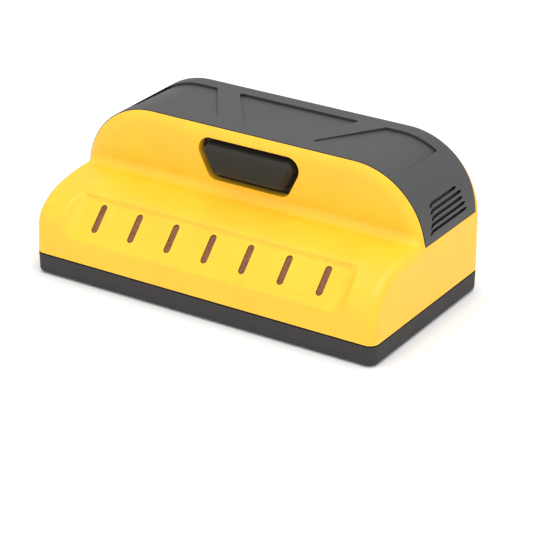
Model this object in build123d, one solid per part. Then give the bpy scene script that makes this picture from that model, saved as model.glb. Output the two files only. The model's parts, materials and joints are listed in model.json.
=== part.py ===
"""Seven-lamp stud finder: a yellow sensor case on a dark glide base, built as separate pieces.

Millimetres. X runs along the length, -Y is the lamp side, +Y the battery side, Z is up.
The origin is at the middle of the footprint, on the wall that the base glides on.
"""
import os
from math import atan2, cos, degrees, radians, sin, sqrt

from build123d import *

# ---- overall sizes ----
LENGTH = 178.0            # 7 in wide sensing face
DEPTH = 93.4
HEIGHT = 72.1
BASE_HEIGHT = 10.5        # height of the dark base, up to its seam with the case
CORNER_R = 4.5            # upright corners, ledge ends and rear edges
WALL = 2.2                # wall of the yellow case
RUN_GAP = 0.15            # clearance all round a piece that is dropped in
THREAD_GAP = 0.05         # screw shank to its hole
TOUCH_GAP = 0.1           # pieces that bear on each other through a joint or a curve
SINK = 0.5                # how far a boss or stem starts inside what it grows from
SEAM_GROOVE = (0.7, 0.8)  # depth and height of the shadow groove between base and case

# ---- hump and its cover ----
SHOULDER_R = 36.0         # round shoulders at both ends of the hump
FACE_Y = -5.8             # upright front face of the hump
FACE_ROUND = 9.0          # rounding that runs up to the cover seam
FACE_ROUND_OUT = 3.0      # how far that rounding is aimed outside the outline
CREASE_R = 4.5            # soft crease between ledge and hump
SEAM_FRONT_Y = -3.5       # front edge of the cover
SEAM_REAR_Y = 41.0        # rear edge of the cover, at its lower ends
SEAM_REAR_LEAN = 0.13     # the rear seam leans back this much for each mm of height
SEAM_LOW_Z = 39.9         # lower edge of the cover, at both ends
COVER_T = 2.2
COVER_SEAM = 0.35         # open seam round the edge of the cover
SEAT_WALL = 2.0           # wall of the channel that the cover lies in
PEG_R = 1.8
PEG_X = 46.0
PEG_FRONT_Y = 0.8
PEG_REAR_Y = 38.6
PEG_LENGTH = 9.0
CLIP_R = 3.8
CLIP_T = 0.8
POCKET_REAR_Y = 36.0
POCKET_FRONT_Y = 4.8
POCKET_DEEP = 1.25
POCKET_SHALLOW = 0.5
POCKET_R = 1.2
POCKETS = [
    [(-71.8, POCKET_FRONT_Y), (-23.0, POCKET_FRONT_Y), (-43.8, POCKET_REAR_Y), (-71.8, POCKET_REAR_Y)],
    [(-9.0, POCKET_FRONT_Y), (20.6, POCKET_FRONT_Y), (32.2, POCKET_REAR_Y), (-31.8, POCKET_REAR_Y)],
    [(25.8, POCKET_FRONT_Y), (71.8, POCKET_FRONT_Y), (71.8, POCKET_REAR_Y), (45.6, POCKET_REAR_Y)],
]
VENTS = [(54.4, 8.7, 31.5), (52.0, 7.4, 34.0), (49.5, 6.8, 33.4),     # height, front end, rear end
         (46.9, 4.6, 34.3), (44.3, 3.2, 34.6)]
VENT_WIDTH = 1.4
VENT_POINT = 2.2
VENT_DEPTH = 1.5
VENT_HOOK = (2.4, 0.6)    # how far the front end of a vent reaches forwards, and down

# ---- ledge, as seen from the end: (y, z) ----
LEDGE_LIP = (-DEPTH / 2 + 0.6, 22.3)
LEDGE_SHOULDER = (-DEPTH / 2 + 5.7, 32.6)
LEDGE_SLOPE = (-DEPTH / 2 + 18.4, 38.9)
LEDGE_TOP = (FACE_Y - 6.2, 41.3)

# ---- lamp panel, a flat facet sunk into the ledge ----
PANEL_FOOT = (-DEPTH / 2 + 0.4, 21.2)
PANEL_ANGLE = 45.5
PANEL_LENGTH = 21.0
PANEL_HALF = 75.0
PANEL_END_R = 8.0
PANEL_RAMP = 35.0         # slope of the step at its upper edge, off the panel
PANEL_CREST_R = 2.5       # softens the crest where the panel ends run out
LAMP_COUNT = 7
LAMP_PITCH = 19.6
SLOT_UP = 12.5            # middle of the slots, up the panel from its foot
SLOT_LENGTH = 14.0
SLOT_WIDTH = 3.3
LENS_SINK = 0.5           # how far the lens lugs stop below the panel face
LENS_BASE_T = 1.2
LENS_BASE_W = 17.0
LENS_MARGIN = 2.8
LED_H = 1.9
LED_SIZE = (3.5, 2.8)
LED_DOME = (1.1, 0.6)     # radius and height
LED_BOARD_T = 1.2
LED_BOARD_W = 15.0
LED_AIR = 0.4
LED_BOARD_R = 1.5
POST_R = 2.4
POST_EDGE = 4.0           # board left round a post
PILOT_DEPTH = 3.5
POST_SLOTS = [-3.5, -1.5, 1.5, 3.5]   # board posts, in lamp pitches from the middle

# ---- push button, in a recess of the hump face ----
BUTTON_Z = 57.05
BUTTON_HALF_TOP = 29.9    # recess, on the face
BUTTON_HALF_FOOT = 20.2
BUTTON_HEIGHT = 19.7
BUTTON_TOP_R = 6.0
BUTTON_FOOT_R = 5.0
RECESS_DEPTH = 4.2
RECESS_WALL = 1.6
BEZEL_T = 1.4
BEZEL_FLANGE = 1.4        # bezel behind the recess wall
KEY_IN = 3.1              # key edge inside the recess edge
KEY_GAP = 0.4
KEY_PROUD = 2.1
KEY_BEVEL = 1.7
KEY_SOFT_R = 0.45
KEY_FLANGE = 0.8          # how far the key's flange reaches past its hole
KEY_FLANGE_T = 1.2
BUTTON_TRAVEL = 1.2
STEM_R = 2.2
STEM_LENGTH = 3.7
PLUNGER_R = 1.6
PLUNGER_LENGTH = 2.6
PLUNGER_EDGE_R = 0.3
PLUNGER_OUT = 1.7         # plunger showing in front of the switch body
PLUNGER_SPARE = 0.3       # room behind the plunger at full travel
SWITCH_SIDE = 6.2
SWITCH_T = 3.6
SWITCH_BEVEL = 0.5
SWITCH_BOARD = (76.0, 15.0, 1.6)
SWITCH_BOARD_R = 1.5
SWITCH_SCREW_GRIP = 4.0
SWITCH_POST_X = 33.5
SPRING_X = 13.0
SPRING_R = 2.0
SPRING_WIRE_R = 0.25
SPRING_TURNS = 6
SPRING_EASE = 0.02        # each spring end to its seat
SPRING_GUIDE = 3.0        # stub on the key inside each spring

# ---- base, boards and what they carry ----
BASE_FLOOR = 2.0
BASE_WALL = 2.6
BASE_DRAFT = 1.5
BASE_EDGE_R = 1.5
REBATE_IN = 1.9           # the rebate for the base's lip lies this far inside the case
LIP_HEIGHT = 2.0
LIP_T = 1.4
LIP_ROOT = 3.0            # how far the lip starts below the seam
PAD_PROUD = 0.6
PAD_T = 1.1
PAD_SIZE = (60.0, 9.0)
PAD_AT = (38.0, 25.0)
CASE_SCREW_IN = (7.8, 8.2)            # corner screws from the ends and from the sides
MIDDLE_SCREW = (44.0, 5.9)            # rear middle screws: off the centre line, and from the rear
CASE_SCREW_AT = [
    (LENGTH / 2 - CASE_SCREW_IN[0], -DEPTH / 2 + CASE_SCREW_IN[1]),
    (LENGTH / 2 - CASE_SCREW_IN[0], DEPTH / 2 - CASE_SCREW_IN[1]),
    (MIDDLE_SCREW[0], DEPTH / 2 - MIDDLE_SCREW[1]),
]
CASE_BOSS_R = 3.8
BASE_BOSS_R = 4.2
BOARD_R = 2.0
CASE_SCREW_R = 1.5
CASE_SCREW_HEAD = (2.9, 2.0)
CASE_SCREW_SEAT_Z = 5.0
CASE_SCREW_LENGTH = 14.0
CASE_BOSS_TOP = 24.0
BOARD = (148.0, 66.0, 1.6)
BOARD_STAND = 1.2
BOARD_SCREW_AT = (66.0, 27.0)
SMALL_SCREW_R = 1.1
SMALL_HEAD = (2.0, 1.4)
HEAD_ROUND = 0.35         # share of a screw head's height
TIP_BEVEL = 0.4           # share of a screw's radius
CROSS = (1.2, 0.28, 0.9)  # cross recess: length and width by head radius, depth by head height
BOARD_SCREW_GRIP = 0.8
LED_SCREW_GRIP = 3.0
PLATE_SIZE = (16.0, 40.0, 0.3)

# ---- batteries (two AA cells) at the rear ----
CELL_R = 7.15
CELL_LENGTH = 49.2
CELL_NIPPLE = (2.75, 1.2)
CELL_PITCH = 2 * CELL_R + 0.9
CELL_EDGE_R = 0.8
CELL_ROOM = 2.8           # room at the negative end for the spring
CONTACT_T = 0.4
CONTACT_REACH = 5.6       # half width of a contact plate
CONTACT_SPRING = (4.0, 0.3, 2.5)      # coil radius, wire radius, turns
HOLDER_WALL = 1.5
HOLDER_MID_Z = 33.0
HOLDER_FLOOR_GAP = 0.5
HOLDER_NOTCH = (1.0, 5.5, 3.0)        # room round toes and latch: beside them, in front, inside the bay
DOOR = (58.0, 33.0, 2.0)
DOOR_R = 2.5
DOOR_GAP = 0.3
TOE = (9.0, 1.8, 1.2)     # width, reach behind the wall, thickness
TOE_X = 17.0
DOOR_PIVOT = 1.0          # pivot axis above the door's foot and inside its face; the foot is round about it
NIB = (1.4, 1.4)          # latch nib: thickness of its arm and of its hook
NIB_DROP = 3.0            # foot of the nib's arm below the door's top
LATCH_W = 12.0
GRIP_COUNT = 5
GRIP = (1.8, 0.5, 0.8)    # pitch, depth and width of the grip grooves
GRIP_DROP = 4.0
GRIP_TAPER = 1.2
WIRE_R = 0.65
LEAD_XS = [-2.0, 2.0]
LEAD_RISES = [4.0, 0.0]   # how far above the holder's middle each lead leaves it
LEAD_OUT = 11.5           # straight run out of the holder
LEAD_RADII = [5.0, 2.2, 2.0]
LEAD_LEAN = (4.5, 5.5)    # last bend, behind and above the lead socket
LEAD_DROP = 4.5           # straight run down into the lead socket

# ---- what stands on the sensor board ----
CHIP_AT = (-18.0, -6.0)
CHIP = (10.0, 10.0, 1.6)
CHIP_LEAD = (0.35, 1.0, 0.3)
CHIP_ROOT = 0.2           # how far a chip lead starts inside its package
CHIP_BEVEL = 0.3
CHIP_LEADS = 8
DRIVER_AT = (24.0, -8.0)
DRIVER = (9.0, 5.0, 1.5)
CAP_AT = [(44.0, -10.0), (52.0, -10.0)]
CAP = (3.0, 9.0)
CAP_EDGE_R = 0.5
CRYSTAL_AT = (-32.0, -6.0)
CRYSTAL = (10.4, 4.2, 3.4)
CRYSTAL_EDGE_R = 0.6
BUZZER_AT = (56.0, 10.0)
BUZZER = (6.0, 8.5)
BUZZER_EDGE_R = 0.8
BUZZER_HOLE = (1.0, 1.5)  # radius and depth
RIBBON_X = -45.0
RIBBON_W = 12.0
RIBBON_T = 0.9
RIBBON_OUT = 7.0          # straight run off the lamp board
RIBBON_RADII = [4.5, 4.0]
RIBBON_PLUG = 2.0         # how deep the cable enters its socket
SOCKET = (14.0, 5.0, 5.5)
SOCKET_Y = -16.0
SOCKET_SLOT = (0.4, 0.2)  # slot wider and thicker than the cable by this much
LEAD_SOCKET_AT = (0.0, 16.0)
LEAD_SOCKET = (8.0, 6.0, 6.0)
LEAD_SOCKET_BEVEL = 0.4

# ---- derived places ----
BASE_Z = PAD_PROUD
FLOOR_Z = BASE_Z + BASE_FLOOR
BOARD_Z = FLOOR_Z + BOARD_STAND
BOARD_TOP = BOARD_Z + BOARD[2]
REAR_Y = DEPTH / 2
FRONT_Y = -DEPTH / 2
FACE_IN = FACE_Y + WALL
REAR_IN = REAR_Y - WALL
SEAT = COVER_T + TOUCH_GAP
HUMP_IN = SEAT + SEAT_WALL
CROWN_IN = HEIGHT - HUMP_IN
RECESS_Y = FACE_Y + RECESS_DEPTH
KEY_BACK_Y = RECESS_Y + BEZEL_T + TOUCH_GAP
KEY_REAR_Y = KEY_BACK_Y + KEY_FLANGE_T
STEM_END_Y = KEY_REAR_Y + STEM_LENGTH
PLUNGER_Y = STEM_END_Y + TOUCH_GAP
SWITCH_Y = PLUNGER_Y + PLUNGER_OUT
SWITCH_BOARD_Y = SWITCH_Y + SWITCH_T
DOOR_FOOT_Z = HOLDER_MID_Z - DOOR[1] / 2
DOOR_TOP_Z = HOLDER_MID_Z + DOOR[1] / 2
FAR = 30.0                # how far cutting blocks run past what they cut

NEAR = 0.01               # how near an edge lies to a plane to count as on it
STANDING = (Align.CENTER, Align.CENTER, Align.MIN)

nodes = {}


def y_plane(y):
    """Plane facing -Y at y: its own x is X and its own y is Z."""
    return Plane(origin=(0, y, 0), x_dir=(1, 0, 0), z_dir=(0, -1, 0))


def slab(plan, y0, y1):
    """Push a face drawn on y_plane(y0) back to y1."""
    return extrude(plan, amount=-(y1 - y0))


def block(x0, x1, y0, y1, z0, z1):
    """Box between two corners."""
    return Pos((x0 + x1) / 2, (y0 + y1) / 2, (z0 + z1) / 2) * Box(x1 - x0, y1 - y0, z1 - z0)


def rod(x, y, z0, z1, r):
    """Upright cylinder."""
    return Pos(x, y, (z0 + z1) / 2) * Cylinder(r, z1 - z0)


def rod_y(x, z, y0, y1, r):
    """Cylinder along Y."""
    return Pos(x, (y0 + y1) / 2, z) * Rot(90, 0, 0) * Cylinder(r, y1 - y0)


def mirrored(places):
    """Each place and its mirror image in X."""
    return [(side * x, y) for x, y in places for side in (-1, 1)]


def rounded_plan(half_x, half_y, r, z0, z1, taper=0):
    """Upright prism on a rounded rectangle; taper leans the walls inwards going up."""
    plan = Plane.XY.offset(z0) * RectangleRounded(2 * half_x, 2 * half_y, r)
    return extrude(plan, amount=z1 - z0, taper=taper)


# ---- outer shapes of the case ----
def hump_prism(grow, y0, y1, low=BASE_HEIGHT):
    """Hump seen from the front: upright ends, round shoulders, flat crown; grown by grow."""
    half = LENGTH / 2 + grow
    crown = HEIGHT + grow
    with BuildSketch(y_plane(y0)) as face:
        with BuildLine():
            Polyline((-half, low), (half, low), (half, crown), (-half, crown), close=True)
        make_face()
        fillet(face.vertices().sort_by(Axis.Y)[-2:], SHOULDER_R + grow)
    return slab(face.sketch, y0, y1)


def rear_of_seam(shift=0.0):
    """Everything behind the leaning rear seam of the cover."""
    seam = Plane(origin=(0, SEAM_REAR_Y + shift, SEAM_LOW_Z), x_dir=(1, 0, 0), z_dir=(0, 1, -SEAM_REAR_LEAN))
    return seam * Box(4 * LENGTH, 4 * LENGTH, LENGTH, align=STANDING)


def cover_zone(shift):
    """Space between the two seams and above the cover's lower ends; shift opens it all round."""
    zone = block(-LENGTH, LENGTH, SEAM_FRONT_Y - shift, 2 * REAR_Y, SEAM_LOW_Z - shift, HEIGHT + FAR)
    return zone - rear_of_seam(shift)


def ledge_block(inset):
    """Ledge seen from the end, carried along X, with its ends rounded over."""
    half = LENGTH / 2 - inset
    low = BASE_HEIGHT - FAR
    back = -FACE_Y + CORNER_R
    with BuildSketch(Plane.YZ.offset(-half)) as side:
        with BuildLine():
            Polyline((back, LEDGE_TOP[1]), (back, low), (FRONT_Y, low), (FRONT_Y, BASE_HEIGHT))
            wall = Line((FRONT_Y, BASE_HEIGHT), LEDGE_LIP)
            bend = TangentArc(LEDGE_LIP, LEDGE_SHOULDER, tangent=wall % 1)
            slope = TangentArc(LEDGE_SHOULDER, LEDGE_SLOPE, tangent=bend % 1)
            TangentArc(LEDGE_SLOPE, LEDGE_TOP, tangent=slope % 1)
            Line(LEDGE_TOP, (back, LEDGE_TOP[1]))
        make_face()
        if inset:
            offset(amount=-inset, kind=Kind.INTERSECTION, mode=Mode.REPLACE)
    body = extrude(side.sketch, amount=2 * half)
    rims = [e for e in body.edges()
            if abs(abs(e.center().X) - half) < 1e-3 and e.center().Y < back - inset - NEAR
            and e.center().Z > low + inset + NEAR]
    body = fillet(rims, CORNER_R - inset)
    return body & block(-LENGTH, LENGTH, -DEPTH, DEPTH, BASE_HEIGHT, HEIGHT)


def panel_plane(lift=0.0):
    """Plane of the lamp panel: its own y runs up the slope, its own z points out of the case."""
    tilt = radians(PANEL_ANGLE)
    foot = (0, PANEL_FOOT[0] - lift * sin(tilt), PANEL_FOOT[1] + lift * cos(tilt))
    return Plane(origin=foot, x_dir=(1, 0, 0), z_dir=(0, -sin(tilt), cos(tilt)))


def panel_cut(grow):
    """Tool that sinks the lamp panel: flat floor, ends that sweep up, a ramp at the upper edge."""
    half = PANEL_HALF + grow
    tall = 4 * PANEL_END_R
    frame = panel_plane()
    across = Plane(origin=frame.origin - frame.y_dir * FAR, x_dir=(1, 0, 0), z_dir=frame.y_dir)
    with BuildSketch(across) as section:
        with BuildLine():
            Polyline((-half, grow), (half, grow), (half, -tall), (-half, -tall), close=True)
        make_face()
        fillet(section.vertices().sort_by(Axis.Y)[-2:], PANEL_END_R + grow)
    tool = extrude(section.sketch, amount=2 * FAR + PANEL_LENGTH)
    lean = radians(PANEL_RAMP)
    brow = frame.origin + frame.y_dir * PANEL_LENGTH - frame.z_dir * grow
    ramp = Plane(origin=brow, x_dir=(1, 0, 0), z_dir=frame.y_dir * sin(lean) - frame.z_dir * cos(lean))
    return tool - ramp * Box(4 * LENGTH, 4 * FAR, 4 * FAR, align=STANDING)


def outer_case():
    """Ledge and hump as one solid, with the crease between them and the rounded edges."""
    low = BASE_HEIGHT
    hump = hump_prism(FACE_ROUND_OUT, FACE_Y, REAR_Y, low - FACE_ROUND)
    front_rim = [e for e in hump.edges()
                 if abs(e.center().Y - FACE_Y) < 1e-3 and e.center().Z > low]
    hump = fillet(front_rim, FACE_ROUND) & hump_prism(0, FACE_Y - FAR, REAR_Y, low)
    rear_rim = [e for e in hump.edges()
                if abs(e.center().Y - REAR_Y) < 1e-3 and e.center().Z > low + NEAR]
    hump = fillet(rear_rim, CORNER_R)
    case = hump + ledge_block(0)
    crease = [e for e in case.edges()
              if abs(e.center().Y - FACE_Y) < 1e-3 and abs(e.center().Z - LEDGE_TOP[1]) < 1e-3
              and e.length > LENGTH / 2]
    case = fillet(crease, CREASE_R) - panel_cut(0)
    return fillet(panel_crests(case), PANEL_CREST_R)


def panel_crests(case):
    """Edges where the sweeping ends of the panel run out into the ledge."""
    frame = panel_plane()
    crests = []
    for edge in case.edges():
        place = edge.center() - frame.origin
        up, lift = place.dot(frame.y_dir), place.dot(frame.z_dir)
        beside = PANEL_HALF - PANEL_END_R < abs(place.X) < PANEL_HALF
        if edge.geom_type != GeomType.LINE and beside and lift > 0.1 and -1 < up < PANEL_LENGTH - 0.1:
            crests.append(edge)
    return crests


def inner_case():
    """Hollow inside the case walls."""
    room = ledge_block(WALL) - panel_cut(WALL)
    room += hump_prism(-HUMP_IN, FACE_IN, REAR_IN)
    return room + rounded_plan(LENGTH / 2 - REBATE_IN, DEPTH / 2 - REBATE_IN, CORNER_R - REBATE_IN,
                               BASE_HEIGHT, BASE_HEIGHT + LIP_HEIGHT + RUN_GAP)


# ---- button outline ----
def button_plan(y, shrink):
    """Rounded trapezoid, wide at the top, on the face plane at y; shrink moves it inwards."""
    top = BUTTON_Z + BUTTON_HEIGHT / 2
    foot = BUTTON_Z - BUTTON_HEIGHT / 2
    with BuildSketch(y_plane(y)) as plan:
        with BuildLine():
            Polyline((-BUTTON_HALF_FOOT, foot), (BUTTON_HALF_FOOT, foot),
                     (BUTTON_HALF_TOP, top), (-BUTTON_HALF_TOP, top), close=True)
        make_face()
        fillet(plan.vertices().sort_by(Axis.Y)[-2:], BUTTON_TOP_R)
        fillet(plan.vertices().sort_by(Axis.Y)[:2], BUTTON_FOOT_R)
        if shrink:
            offset(amount=-shrink, mode=Mode.REPLACE)
    return plan.sketch


def button_slab(y0, y1, shrink):
    return slab(button_plan(y0, shrink), y0, y1)


# ---- lamp places ----
def lamp_xs():
    return [(i - (LAMP_COUNT - 1) / 2) * LAMP_PITCH for i in range(LAMP_COUNT)]


def post_xs():
    return [step * LAMP_PITCH for step in POST_SLOTS]


def on_panel(lift, x, up, solid):
    """Stand a solid on the panel plane at x, up the slope, lift above the face."""
    return panel_plane(lift) * Pos(x, up, 0) * solid


def slot_bar(lift0, lift1, x, shrink):
    """Round-ended bar up the slope, between two heights over the panel face."""
    plan = Rot(0, 0, 90) * SlotOverall(SLOT_LENGTH - 2 * shrink, SLOT_WIDTH - 2 * shrink)
    return on_panel(lift0, x, SLOT_UP, extrude(plan, amount=lift1 - lift0))


LENS_LOW = -WALL - LENS_BASE_T
LED_BOARD_LIFT = LENS_LOW - LED_AIR - LED_H


def case_screw_places():
    return mirrored(CASE_SCREW_AT)


# ---- battery bay places ----
BAY_HALF_X = (CELL_LENGTH + CELL_NIPPLE[1] + CELL_ROOM) / 2 + CONTACT_T
BAY_HALF_Z = CELL_PITCH / 2 + CELL_R + HOLDER_FLOOR_GAP
BAY_FRONT_Y = REAR_IN - 2 * CELL_R - 2 * HOLDER_FLOOR_GAP
CELL_Y = BAY_FRONT_Y + CELL_R + HOLDER_FLOOR_GAP


def cell_zs():
    return [HOLDER_MID_Z - CELL_PITCH / 2, HOLDER_MID_Z + CELL_PITCH / 2]


def cell_sides():
    """Which way the button end of each cell points."""
    return [1, -1]


def door_plan(y, grow):
    """Door outline on y_plane(y): square at the foot that it turns on, rounded at the upper corners."""
    plan = Pos(0, HOLDER_MID_Z) * Rectangle(DOOR[0] + 2 * grow, DOOR[1] + 2 * grow)
    return y_plane(y) * fillet(plan.vertices().sort_by(Axis.Y)[-2:], DOOR_R + grow)


# ---- yellow case ----
def make_housing():
    case = outer_case()
    shell = case - inner_case()
    channel = (hump_prism(FAR, SEAM_FRONT_Y - FAR, REAR_Y + FAR) - hump_prism(-SEAT, -DEPTH, DEPTH))
    shell -= channel & cover_zone(COVER_SEAM)
    for x, y in case_screw_places():
        top = HEIGHT if y < 0 else CASE_BOSS_TOP
        shell += (rod(x, y, BASE_HEIGHT, top, CASE_BOSS_R) & case)
        hole_top = CASE_SCREW_SEAT_Z + CASE_SCREW_LENGTH + 1
        shell -= rod(x, y, BASE_HEIGHT - 1, hole_top, CASE_SCREW_R + THREAD_GAP)
    shell += button_slab(FACE_IN - SINK, RECESS_Y, -RECESS_WALL)
    shell -= button_slab(FACE_Y - 1, RECESS_Y + 1, 0)
    for x in (-SWITCH_POST_X, SWITCH_POST_X):
        shell += rod_y(x, BUTTON_Z, FACE_IN - WALL / 2, SWITCH_BOARD_Y, POST_R)
        shell -= rod_y(x, BUTTON_Z, SWITCH_BOARD_Y - SWITCH_SCREW_GRIP - 2, SWITCH_BOARD_Y + 1,
                       SMALL_SCREW_R + THREAD_GAP)
    for x in post_xs():
        post = Cylinder(POST_R, -LED_BOARD_LIFT - WALL / 2, align=STANDING)
        shell += on_panel(LED_BOARD_LIFT, x, SLOT_UP, post)
        pilot = Cylinder(SMALL_SCREW_R + THREAD_GAP, PILOT_DEPTH + 1, align=STANDING)
        shell -= on_panel(LED_BOARD_LIFT - 1, x, SLOT_UP, pilot)
    for x in lamp_xs():
        shell -= slot_bar(-WALL - 1, 1, x, 0)
    for x, y in peg_places():
        shell -= rod(x, y, CROWN_IN - 1, HEIGHT - COVER_T, PEG_R + RUN_GAP)
    shell -= slab(door_plan(REAR_IN - 1, DOOR_GAP), REAR_IN - 1, REAR_Y + 1)
    return shell


# ---- dark cover over the hump ----
def peg_places():
    return mirrored([(PEG_X, PEG_FRONT_Y), (PEG_X, PEG_REAR_Y)])


def pocket_floor():
    """Crown surface sunk inside the pockets: deep at the rear, nearly flush at the front."""
    def ring(y, sink):
        return hump_prism(-sink, y, y + 1).faces().sort_by(Axis.Y)[0]
    return loft([ring(POCKET_FRONT_Y - 1, POCKET_SHALLOW), ring(POCKET_REAR_Y + 1, POCKET_DEEP)], ruled=True)


def vent_groove(side, z, front, rear):
    """Groove along Y, square to the round shoulder: pointed at the rear, hooked forwards and down in front."""
    rise = z - (HEIGHT - SHOULDER_R)
    turn = degrees(atan2(sqrt(SHOULDER_R ** 2 - rise ** 2), rise))
    half = VENT_WIDTH / 2
    reach, drop = VENT_HOOK
    plan = make_face(Polyline(
        (-half, front), (half + drop, front - reach), (half + drop, front), (half, front + drop),
        (half, rear - VENT_POINT), (0, rear), (-half, rear - VENT_POINT), close=True))
    tool = Pos(0, 0, SHOULDER_R - VENT_DEPTH) * extrude(plan, amount=FAR)
    centre = Pos(LENGTH / 2 - SHOULDER_R, 0, HEIGHT - SHOULDER_R)
    tool = centre * Rot(0, turn, 0) * tool
    return tool if side > 0 else mirror(tool, Plane.YZ)


def make_cover():
    zone = cover_zone(0)
    cover = hump_prism(0, -DEPTH, DEPTH) - hump_prism(-COVER_T, -DEPTH - 1, DEPTH + 1)
    cover = cover & zone & outer_case_rear()
    deep = hump_prism(FAR, -DEPTH, DEPTH) - pocket_floor()
    for corners in POCKETS:
        plan = Plane.XY.offset(SEAM_LOW_Z) * make_face(Polyline(*corners, close=True))
        tool = extrude(plan, amount=FAR + HEIGHT)
        tool = fillet(tool.edges().filter_by(Axis.Z), POCKET_R)
        cover -= tool & deep
    for side in (-1, 1):
        for z, front, rear in VENTS:
            cover -= vent_groove(side, z, front, rear)
    for x, y in peg_places():
        cover += rod(x, y, HEIGHT - COVER_T - PEG_LENGTH, HEIGHT - COVER_T + SINK, PEG_R)
    return cover


def outer_case_rear():
    """Hump with only its rear edges rounded, which the cover follows over the rear seam."""
    hump = hump_prism(0, -DEPTH, REAR_Y, BASE_HEIGHT)
    rim = [e for e in hump.edges()
           if abs(e.center().Y - REAR_Y) < 1e-3 and e.center().Z > BASE_HEIGHT + NEAR]
    return fillet(rim, CORNER_R)


def make_cover_clips():
    top = CROWN_IN - TOUCH_GAP
    return [rod(x, y, top - CLIP_T, top, CLIP_R) - rod(x, y, top - 2, top + 1, PEG_R + THREAD_GAP)
            for x, y in peg_places()]


# ---- base ----
def base_tray():
    """Open tray with leaning walls, a rounded lower edge and a lip that enters the case."""
    plan = Plane.XY.offset(BASE_HEIGHT) * RectangleRounded(LENGTH, DEPTH, CORNER_R)
    tray = extrude(plan, amount=-(BASE_HEIGHT - BASE_Z), taper=BASE_DRAFT)
    foot = tray.edges().group_by(Axis.Z)[0]
    tray = fillet(foot, BASE_EDGE_R)
    inner_x = LENGTH / 2 - BASE_WALL
    inner_y = DEPTH / 2 - BASE_WALL
    tray -= rounded_plan(inner_x, inner_y, CORNER_R - BASE_WALL, FLOOR_Z, BASE_HEIGHT + 1)
    lip_x = LENGTH / 2 - REBATE_IN - RUN_GAP
    lip_y = DEPTH / 2 - REBATE_IN - RUN_GAP
    lip = rounded_plan(lip_x, lip_y, CORNER_R - REBATE_IN, BASE_HEIGHT - LIP_ROOT, BASE_HEIGHT + LIP_HEIGHT)
    lip -= rounded_plan(lip_x - LIP_T, lip_y - LIP_T, CORNER_R - BASE_WALL, BASE_HEIGHT - LIP_ROOT - 1,
                        BASE_HEIGHT + LIP_HEIGHT + 1)
    return tray - seam_groove() + lip


def seam_groove():
    """Shadow groove round the top edge of the base."""
    depth, height = SEAM_GROOVE
    ring = rounded_plan(LENGTH / 2 + 1, DEPTH / 2 + 1, CORNER_R + 1, BASE_HEIGHT - height, BASE_HEIGHT + 1)
    return ring - rounded_plan(LENGTH / 2 - depth, DEPTH / 2 - depth, CORNER_R - depth, 0, HEIGHT)


def pad_places():
    return [(sx * PAD_AT[0], sy * PAD_AT[1]) for sx in (-1, 1) for sy in (-1, 1)]


def make_base():
    base = base_tray()
    for x, y in case_screw_places():
        base += rod(x, y, FLOOR_Z - 1, BASE_HEIGHT, BASE_BOSS_R)
    base -= lip_relief()
    for x, y in case_screw_places():
        base -= rod(x, y, BASE_Z - 1, CASE_SCREW_SEAT_Z, CASE_SCREW_HEAD[0] + RUN_GAP)
        base -= rod(x, y, BASE_Z, BASE_HEIGHT + 1, CASE_SCREW_R + RUN_GAP)
    for x, y in board_screw_places():
        base += rod(x, y, FLOOR_Z - 1, BOARD_Z, POST_R)
        base -= rod(x, y, BASE_Z + 1, BOARD_Z + 1, SMALL_SCREW_R + THREAD_GAP)
    for x, y in pad_places():
        half_x = PAD_SIZE[0] / 2 + THREAD_GAP
        half_y = PAD_SIZE[1] / 2 + THREAD_GAP
        base -= block(x - half_x, x + half_x, y - half_y, y + half_y, -1, PAD_T)
    return base


def lip_relief():
    """Room in the lip where the case's screw bosses come down to the base."""
    cuts = [rod(x, y, BASE_HEIGHT, BASE_HEIGHT + LIP_HEIGHT + 1, CASE_BOSS_R + 2 * RUN_GAP)
            for x, y in case_screw_places()]
    return Compound(children=cuts)


def make_pads():
    half_x, half_y = PAD_SIZE[0] / 2, PAD_SIZE[1] / 2
    pads = []
    for x, y in pad_places():
        pad = block(x - half_x, x + half_x, y - half_y, y + half_y, 0, PAD_T)
        pads.append(chamfer(pad.edges().group_by(Axis.Z)[0], PAD_PROUD / 3))
    return pads


def screw(head, shank_r, length):
    """Pan-head screw standing on its seat at z = 0, shank going up, with a cross recess."""
    head_r, head_h = head
    long, wide, deep = CROSS
    body = Pos(0, 0, -head_h / 2) * Cylinder(head_r, head_h)
    body = fillet(body.edges().group_by(Axis.Z)[0], head_h * HEAD_ROUND)
    body += Pos(0, 0, length / 2) * Cylinder(shank_r, length)
    body = chamfer(body.edges().group_by(Axis.Z)[-1], shank_r * TIP_BEVEL)
    for turn in (0, 90):
        body -= Rot(0, 0, turn) * Pos(0, 0, -head_h) * Box(head_r * long, head_r * wide, head_h * deep)
    return body


def make_case_screws():
    bolt = screw(CASE_SCREW_HEAD, CASE_SCREW_R, CASE_SCREW_LENGTH)
    return [Pos(x, y, CASE_SCREW_SEAT_Z) * bolt for x, y in case_screw_places()]


def board_screw_places():
    return [(sx * BOARD_SCREW_AT[0], sy * BOARD_SCREW_AT[1]) for sx in (-1, 1) for sy in (-1, 1)]


def make_board_screws():
    bolt = screw(SMALL_HEAD, SMALL_SCREW_R, BOARD[2] + BOARD_STAND + BOARD_SCREW_GRIP)
    return [Pos(x, y, BOARD_TOP) * Rot(180, 0, 0) * bolt for x, y in board_screw_places()]


def make_sensor_board():
    board = block(-BOARD[0] / 2, BOARD[0] / 2, -BOARD[1] / 2, BOARD[1] / 2, BOARD_Z, BOARD_TOP)
    board = fillet(board.edges().filter_by(Axis.Z), BOARD_R)
    for x, y in board_screw_places():
        board -= rod(x, y, 0, HEIGHT, SMALL_SCREW_R + RUN_GAP)
    return board


def make_sensor_plates():
    sx, sy, sz = PLATE_SIZE
    return [block(x - sx / 2, x + sx / 2, -sy / 2, sy / 2, BOARD_Z - sz, BOARD_Z) for x in lamp_xs()]


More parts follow.
